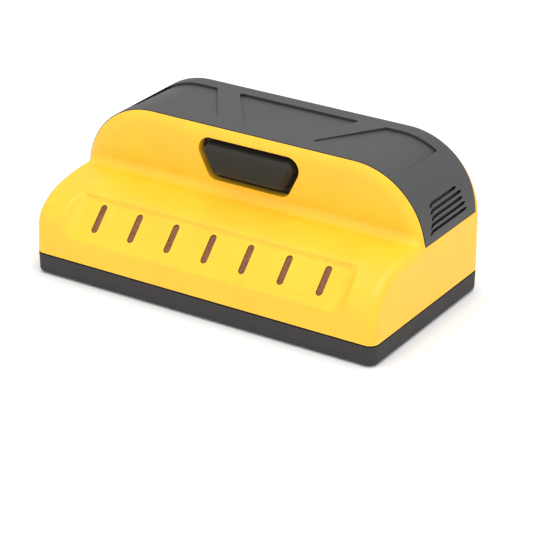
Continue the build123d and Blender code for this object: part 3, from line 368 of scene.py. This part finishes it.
def felt(name, colour):
    """Pressed felt: two layers of crossing fibres and a soft sheen."""
    finish = Finish(name, roughness=0.95, Sheen_Weight=0.5, Sheen_Roughness=0.6)
    along_place = finish.stretched((1.0, 0.15, 1.0), turn=(0, 0, 0.4))
    along = finish.noise(FIBRE_SCALE, detail=5.0, place=along_place)
    across_place = finish.stretched((0.15, 1.0, 1.0), turn=(0, 0, -0.3))
    across = finish.noise(FIBRE_SCALE, detail=5.0, place=across_place)
    fibres = finish.math("ADD", finish.math("MULTIPLY", along, 0.5),
                         finish.math("MULTIPLY", across, 0.5))
    finish.colour(finish.two_tone(fibres, colour, tints=(0.6, 1.35), spread=(0.4, 0.6)))
    finish.bump(fibres, distance=0.2 * MM, strength=0.8)
    return finish.material


def lamp_plastic(name, colour):
    """Translucent red moulding over the lamps: cloudy inside, smooth outside."""
    finish = Finish(name, roughness=0.28, Transmission_Weight=0.18, IOR=1.49,
                    Subsurface_Weight=0.25, Subsurface_Radius=(0.004, 0.0012, 0.0006),
                    Subsurface_Scale=1.0)
    clouds = finish.noise(LENS_CLOUD_SCALE, detail=3.0)
    tone = finish.two_tone(clouds, colour, tints=(0.85, 1.3), spread=(0.35, 0.7))
    shade = finish.math("MULTIPLY", finish.crevices(1.2 * MM), 0.5)
    finish.colour(finish.blend(shade, tone, tinted(colour, 0.45)))
    finish.rough(clouds, 0.22, 0.38)
    finish.bump(finish.noise(LENS_SKIN_SCALE), distance=0.01 * MM, strength=0.4)
    return finish.material


def resin(name, colour):
    """Clear lamp resin with a milky core."""
    finish = Finish(name, roughness=0.12, Transmission_Weight=0.45, IOR=1.53)
    milk = finish.noise(MILK_SCALE)
    finish.colour(finish.two_tone(milk, colour, tints=(0.9, 1.0), spread=(0.3, 0.7)))
    finish.rough(milk, 0.08, 0.18)
    return finish.material


def circuit_board(name, mask):
    """Solder mask over etched tracks: lighter lines on a square grid, over a woven base."""
    finish = Finish(name, roughness=0.32, Coat_Weight=0.25, Coat_Roughness=0.15)
    tracks = finish.node("ShaderNodeTexBrick", offset=0.35, offset_frequency=3, squash=0.6,
                         squash_frequency=2)
    for socket, number in (("Scale", TRACK_SCALE), ("Mortar Size", 0.045),
                           ("Mortar Smooth", 0.1), ("Bias", -0.2)):
        tracks.inputs[socket].default_value = number
    finish.link(finish.place, tracks.inputs["Vector"])
    weave = finish.noise(WEAVE_SCALE)
    ground = finish.two_tone(weave, mask, tints=(0.85, 1.15), spread=(0.3, 0.7))
    finish.colour(finish.blend(tracks.outputs["Fac"], ground, tinted(mask, 2.1)))
    finish.rough(weave, 0.26, 0.4)
    finish.bump(tracks.outputs["Fac"], distance=0.04 * MM, strength=0.6)
    return finish.material


def insulation(name, colour):
    """Wire sleeve: smooth, with faint cloudy bands."""
    finish = Finish(name, roughness=0.42)
    bands = finish.noise(BAND_SCALE, detail=3.0)
    finish.colour(finish.two_tone(bands, colour, tints=(0.8, 1.2), spread=(0.35, 0.65)))
    finish.rough(bands, 0.36, 0.5)
    finish.bump(bands, distance=0.01 * MM, strength=0.5)
    return finish.material


def make_finishes():
    """One finish for each of the record's material slots."""
    drawn = (1.0, 1.0, 0.1)
    makers = {
        # darkened gaps and recesses are painted shade; lightened edges are partly wear, partly
        # painted highlight
        "yellow_case": (moulded, dict(roughness=0.42, wear=0.16, worn_colour=WEAR_AND_HIGHLIGHT_YELLOW,
                                      dirt=0.9, dirt_reach=2.6 * MM)),
        "dark_base": (moulded, dict(roughness=0.60, dirt=0.4, Specular_IOR_Level=0.2)),
        "dark_cover": (moulded, dict(roughness=0.54, grain=0.03 * MM, wear=0.5, dirt=1.0,
                                     dirt_reach=3.4 * MM, Specular_IOR_Level=0.4)),
        "dark_trim": (moulded, dict(roughness=0.50, dirt=0.3, Specular_IOR_Level=0.3)),
        "button_rubber": (rubber, {}),
        "pad_grey": (felt, {}),
        "red_lens": (lamp_plastic, {}),
        "led_resin": (resin, {}),
        "board_green": (circuit_board, {}),
        "plate_copper": (metal, dict(roughness=0.32, stain=0.7)),
        "black_package": (moulded, dict(roughness=0.50, wear=0.15)),
        "red_plunger": (moulded, dict(roughness=0.30, wear=0.15)),
        "can_aluminium": (metal, dict(roughness=0.30, brush=drawn)),
        "can_steel": (metal, dict(roughness=0.26, brush=(1.0, 0.1, 1.0))),
        "socket_white": (moulded, dict(roughness=0.42, wear=0.1)),
        "ribbon_grey": (moulded, dict(roughness=0.48, wear=0.1)),
        "screw_steel": (metal, dict(roughness=0.34)),
        "spring_steel": (metal, dict(roughness=0.24)),
        "contact_metal": (metal, dict(roughness=0.28, brush=drawn)),
        "holder_black": (moulded, dict(roughness=0.50, wear=0.2)),
        "cell_sleeve": (moulded, dict(roughness=0.26, grain=0.006 * MM, wear=0.1)),
        "red_insulation": (insulation, {}),
        "black_insulation": (insulation, {}),
    }
    return {slot: maker(slot, COLOURS[slot], **settings)
            for slot, (maker, settings) in makers.items()}


def finish_nodes(finishes):
    """Give each carried-over part the finish of its material slot."""
    for part in frame["record"]["subparts"]:
        mesh = frame["nodes"][part["node"]].data
        mesh.materials.clear()
        mesh.materials.append(finishes[part["material_slot"]])


# ---------------------------------------------------------------- mesh helpers
def ring_quads(rings, sides):
    """Quads between rings of sides points each, a ring's last point being joined to its first."""
    ring, side = np.meshgrid(np.arange(rings - 1), np.arange(sides), indexing="ij")
    after = (side + 1) % sides
    quads = np.stack([ring * sides + side, ring * sides + after,
                      (ring + 1) * sides + after, (ring + 1) * sides + side], axis=-1)
    return quads.reshape(-1, 4).tolist()


def capped_tube(rings, sides):
    """Faces of a tube of rings of sides points each, with one face over each end."""
    start = list(range(sides))
    end = [(rings - 1) * sides + side for side in start]
    return ring_quads(rings, sides) + [start[::-1], end]


def unit(vectors):
    """Each vector divided by its length."""
    return vectors / np.linalg.norm(vectors, axis=-1, keepdims=True)


def add_piece(name, points, faces, finishes, slots, nodes, face_slots=None, smooth=True):
    """Put a mesh into the scene, on the case body, in place of the given CAD nodes.

    Its own material slot is the first of slots; face_slots gives each face's number in slots.
    """
    mesh = bpy.data.meshes.new(name)
    mesh.from_pydata(points.reshape(-1, 3).tolist(), [], faces)
    mesh.polygons.foreach_set("use_smooth", [smooth] * len(mesh.polygons))
    for slot in slots:
        mesh.materials.append(finishes[slot])
    if face_slots is not None:
        mesh.polygons.foreach_set("material_index", face_slots)
    close_up(mesh)
    piece = bpy.data.objects.new(name, mesh)
    bpy.context.scene.collection.objects.link(piece)
    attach(piece, "case")
    if nodes:
        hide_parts(*nodes)
    return piece


def close_up(mesh):
    """Weld seams and poles, drop the faces that they squeeze flat, and turn every face outwards."""
    work = bmesh.new()
    work.from_mesh(mesh)
    bmesh.ops.remove_doubles(work, verts=work.verts, dist=WELD)
    bmesh.ops.dissolve_degenerate(work, edges=work.edges, dist=WELD)
    bmesh.ops.recalc_face_normals(work, faces=work.faces)
    work.to_mesh(mesh)
    work.free()
    mesh.update()


# ---------------------------------------------------------------- button springs
def button_coils(finishes):
    """Two compression springs, each a round tube along a helix about Y.

    Helix: centre + radius * (cos, 0, sin) of the angle; y climbs with the angle, and stands still
    over the flat turns at each end. Tube: helix + wire * (cos * out + sin * side), out and side
    being square to the helix and to each other.
    """
    low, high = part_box("button_springs")
    radius = (high.z - low.z) / 2 - SPRING_WIRE
    turned = np.linspace(0, COIL_TURNS, COIL_STEPS)
    angle = 2 * np.pi * turned
    rise = np.clip((turned - COIL_FLAT_TURNS) / (COIL_TURNS - 2 * COIL_FLAT_TURNS), 0, 1)
    y = low.y + SPRING_WIRE + (high.y - low.y - 2 * SPRING_WIRE) * rise
    spoke = np.stack([np.cos(angle), np.zeros(COIL_STEPS), np.sin(angle)], axis=1)
    round_wire = np.linspace(0, 2 * np.pi, COIL_SIDES, endpoint=False)[None, :, None]
    middle_z = (low.z + high.z) / 2
    for end, centre_x in (("left", low.x + radius + SPRING_WIRE),
                          ("right", high.x - radius - SPRING_WIRE)):
        axis = np.stack([np.full(COIL_STEPS, centre_x), y, np.full(COIL_STEPS, middle_z)], axis=1)
        helix = axis + radius * spoke
        ahead = unit(np.gradient(helix, axis=0))
        out = unit(spoke - (spoke * ahead).sum(1, keepdims=True) * ahead)
        side = np.cross(ahead, out)
        points = helix[:, None] + SPRING_WIRE * (np.cos(round_wire) * out[:, None]
                                                 + np.sin(round_wire) * side[:, None])
        coil = add_piece(f"button_coil_{end}", points, capped_tube(COIL_STEPS, COIL_SIDES),
                         finishes, ["spring_steel"], ["button_springs"])
        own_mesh(coil)


# ---------------------------------------------------------------- felt pads
def felt_pads(finishes):
    """Felt strips: rings of one rounded outline, inset and raised along a profile.

    Outline: half the side, less corner and inset, times the clipped cosine or sine, plus the
    corner less a fibre's length times the plain one. The fibres are seeded random lengths.
    """
    low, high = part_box("glide_pads")
    rng = np.random.default_rng(PAD_SEED)
    turn = np.linspace(0, 2 * np.pi, PAD_STEPS, endpoint=False)
    profile = np.array(PAD_PROFILE)
    inset = profile[:, 0, None] * MM
    height = profile[:, 1, None] * (high.z - low.z)
    fuzz = np.where(inset < PAD_EDGE, *PAD_FUZZ) * MM
    side_x = np.clip(PAD_SIDE_SHARPNESS[0] * np.cos(turn), -1, 1)
    side_y = np.clip(PAD_SIDE_SHARPNESS[1] * np.sin(turn), -1, 1)
    places = [(left_right, front_back) for front_back in (-1, 1) for left_right in (-1, 1)]
    for number, (left_right, front_back) in enumerate(places, start=1):
        centre_x = left_right * (high.x - PAD_LENGTH / 2)
        centre_y = front_back * (high.y - PAD_WIDTH / 2)
        fibre = rng.uniform(0.0, 1.0, (len(profile), PAD_STEPS)) * fuzz
        reach = PAD_CORNER - fibre
        x = centre_x + (PAD_LENGTH / 2 - PAD_CORNER - inset) * side_x + reach * np.cos(turn)
        y = centre_y + (PAD_WIDTH / 2 - PAD_CORNER - inset) * side_y + reach * np.sin(turn)
        z = low.z + np.clip(height + fibre, 0, high.z - low.z)
        add_piece(f"felt_pad_{number}", np.stack([x, y, z], axis=-1),
                  capped_tube(len(profile), PAD_STEPS), finishes, ["pad_grey"], ["glide_pads"])


# ---------------------------------------------------------------- ribbon cable
def bend(start, corner, end):
    """Quadratic curve: (1 - t)^2 * start + 2t(1 - t) * corner + t^2 * end."""
    t = np.linspace(0, 1, RIBBON_BEND_STEPS)[:, None]
    return (1 - t) ** 2 * start + 2 * t * (1 - t) * corner + t ** 2 * end


def ribbon(finishes):
    """Flat cable: an outline scalloped by its cores, carried along two bends that meet midway.

    Half the thickness at a point across is web + (1 - web) * |sine| to a power, with half a wave
    of the sine to each core. The cable starts square to the lamp board, whose tilt follows from
    its box: width * cos + thickness * sin is the box's depth, width * sin + thickness * cos its
    height.
    """
    low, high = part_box("ribbon_cable")
    board_low, board_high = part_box("lamp_board")
    board = board_high - board_low
    tilt = np.arccos((LAMP_BOARD_WIDTH * board.y - LAMP_BOARD_THICK * board.z)
                     / (LAMP_BOARD_WIDTH ** 2 - LAMP_BOARD_THICK ** 2))
    half = RIBBON_THICK / 2
    start = np.array([low.y + half * np.cos(tilt), high.z - half * np.sin(tilt)])
    turn_off = start + RIBBON_OUT * np.array([np.sin(tilt), -np.cos(tilt)])
    end = np.array([high.y - half, low.z])
    over = np.array([end[0], turn_off[1]])
    midway = (turn_off + over) / 2
    line = np.concatenate([bend(start, turn_off, midway), bend(midway, over, end)[1:]])
    ahead = unit(np.gradient(line, axis=0))
    normal = np.stack([-ahead[:, 1], ahead[:, 0]], axis=1)
    share = np.linspace(0, 1, RIBBON_CORES * RIBBON_CORE_STEPS + 1)
    cores = np.abs(np.sin(np.pi * RIBBON_CORES * share)) ** RIBBON_ROUNDNESS
    bulge = half * (RIBBON_WEB + (1 - RIBBON_WEB) * cores)
    along_x = low.x + share * (high.x - low.x)
    outline_x = np.concatenate([along_x, along_x[::-1]])
    outline_n = np.concatenate([bulge, -bulge[::-1]])
    x = np.broadcast_to(outline_x, (len(line), len(outline_x)))
    yz = line[:, None, :] + normal[:, None, :] * outline_n[None, :, None]
    points = np.concatenate([x[..., None], yz], axis=-1)
    add_piece("ribbon", points, capped_tube(len(line), len(outline_x)), finishes,
              ["ribbon_grey"], ["ribbon_cable"])


# ---------------------------------------------------------------- battery cells
def cells(finishes):
    """AA cells: (x, r cos, r sin), a profile of radius r along the cell, spun about its axis."""
    profile = np.array(CELL_PROFILE)
    turn = np.linspace(0, 2 * np.pi, CELL_STEPS, endpoint=False)
    faces = ring_quads(len(profile), CELL_STEPS)
    ring = np.arange(len(faces)) // CELL_STEPS
    bare = (ring < CELL_SLEEVE_RINGS[0]) | (ring > CELL_SLEEVE_RINGS[1])
    for node, button_side in (("battery_lower", 1), ("battery_upper", -1)):
        low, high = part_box(node)
        middle = (low + high) / 2
        length = high.x - low.x
        radius = profile[:, 1, None] * (high.z - low.z) / 2
        along = profile[:, 0] / profile[-1, 0] * length
        x = low.x + (along if button_side > 0 else length - along)
        points = np.stack([np.broadcast_to(x[:, None], (len(x), CELL_STEPS)),
                           middle.y + radius * np.cos(turn),
                           middle.z + radius * np.sin(turn)], axis=-1)
        add_piece(node.replace("battery", "cell"), points, faces, finishes,
                  ["cell_sleeve", "can_steel"], [node], face_slots=bare.astype(np.int32))


# ---------------------------------------------------------------- small parts on the boards
def chip_resistors(finishes):
    """Rows of chip resistors on the sensor board.

    Each is three boxes, with corners at place + size * (+-1/2, +-1/2, 0 or 1).
    """
    _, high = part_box("sensor_board")
    gap_x, gap_half, gap_rear = RESISTOR_GAP
    places = np.array([(x * MM, y * MM, high.z)
                       for y in RESISTOR_ROWS for x in np.arange(*RESISTOR_ALONG)
                       if not (abs(x - gap_x) < gap_half and y < gap_rear)])
    box_corners = np.array([(x, y, z) for z in (0, 1) for y in (-0.5, 0.5) for x in (-0.5, 0.5)])
    box_faces = np.array([(0, 2, 3, 1), (4, 5, 7, 6), (0, 1, 5, 4),
                          (2, 6, 7, 3), (0, 4, 6, 2), (1, 3, 7, 5)])
    blocks = [places[:, None] + (box_corners * size + (shift, 0, 0)) * MM
              for shift, size, _ in RESISTOR_PARTS]
    points = np.concatenate(blocks).reshape(-1, 3)
    boxes = np.arange(len(points) // len(box_corners))
    faces = (boxes[:, None, None] * len(box_corners) + box_faces).reshape(-1, 4)
    kinds = np.repeat([kind for _, _, kind in RESISTOR_PARTS], len(places) * len(box_faces))
    add_piece("chip_resistors", points, faces.tolist(), finishes, ["black_package", "can_steel"],
              [], face_slots=kinds.astype(np.int32), smooth=False)


# ---------------------------------------------------------------- floor, lights and camera
def make_stage():
    """A wide pale floor under the glide face."""
    mesh = bpy.data.meshes.new("floor")
    half = FLOOR_HALF
    mesh.from_pydata([(-half, -half, 0), (half, -half, 0), (half, half, 0), (-half, half, 0)],
                     [], [(0, 1, 2, 3)])
    floor = bpy.data.objects.new("floor", mesh)
    bpy.context.scene.collection.objects.link(floor)
    paper = Finish("paper", FLOOR_ROUGHNESS)
    paper.shader.inputs["Base Color"].default_value = (*FLOOR_COLOUR, 1.0)
    mesh.materials.append(paper.material)


def make_lights():
    """Soft square lights that all look at the middle of the object, and an even pale sky."""
    target = sum(CAD_BOX, Vector()) / 2
    for name, (place, size, power) in LIGHTS.items():
        lamp = bpy.data.lights.new(name, "AREA")
        lamp.size = size
        lamp.energy = power
        light = bpy.data.objects.new(name, lamp)
        light.location = place
        light.rotation_euler = (target - Vector(place)).to_track_quat("-Z", "Y").to_euler()
        bpy.context.scene.collection.objects.link(light)
    world = bpy.data.worlds.new("sky")
    world.use_nodes = True
    sky = world.node_tree.nodes["Background"]
    sky.inputs["Color"].default_value = (*SKY_COLOUR, 1.0)
    sky.inputs["Strength"].default_value = SKY_STRENGTH
    bpy.context.scene.world = world
    bpy.context.scene.view_settings.view_transform = "Standard"


def make_camera():
    """A long lens from the front right, above the object."""
    lens = bpy.data.cameras.new("camera")
    lens.lens = CAMERA_LENS
    lens.sensor_width = CAMERA_SENSOR
    camera = bpy.data.objects.new("camera", lens)
    camera.location = CAMERA_AT
    camera.rotation_euler = Vector(CAMERA_TOWARDS).to_track_quat("-Z", "Y").to_euler()
    bpy.context.scene.collection.objects.link(camera)
    bpy.context.scene.camera = camera


make_camera()
make_lights()
make_stage()
finishes = make_finishes()
finish_nodes(finishes)
button_coils(finishes)
felt_pads(finishes)
ribbon(finishes)
cells(finishes)
chip_resistors(finishes)
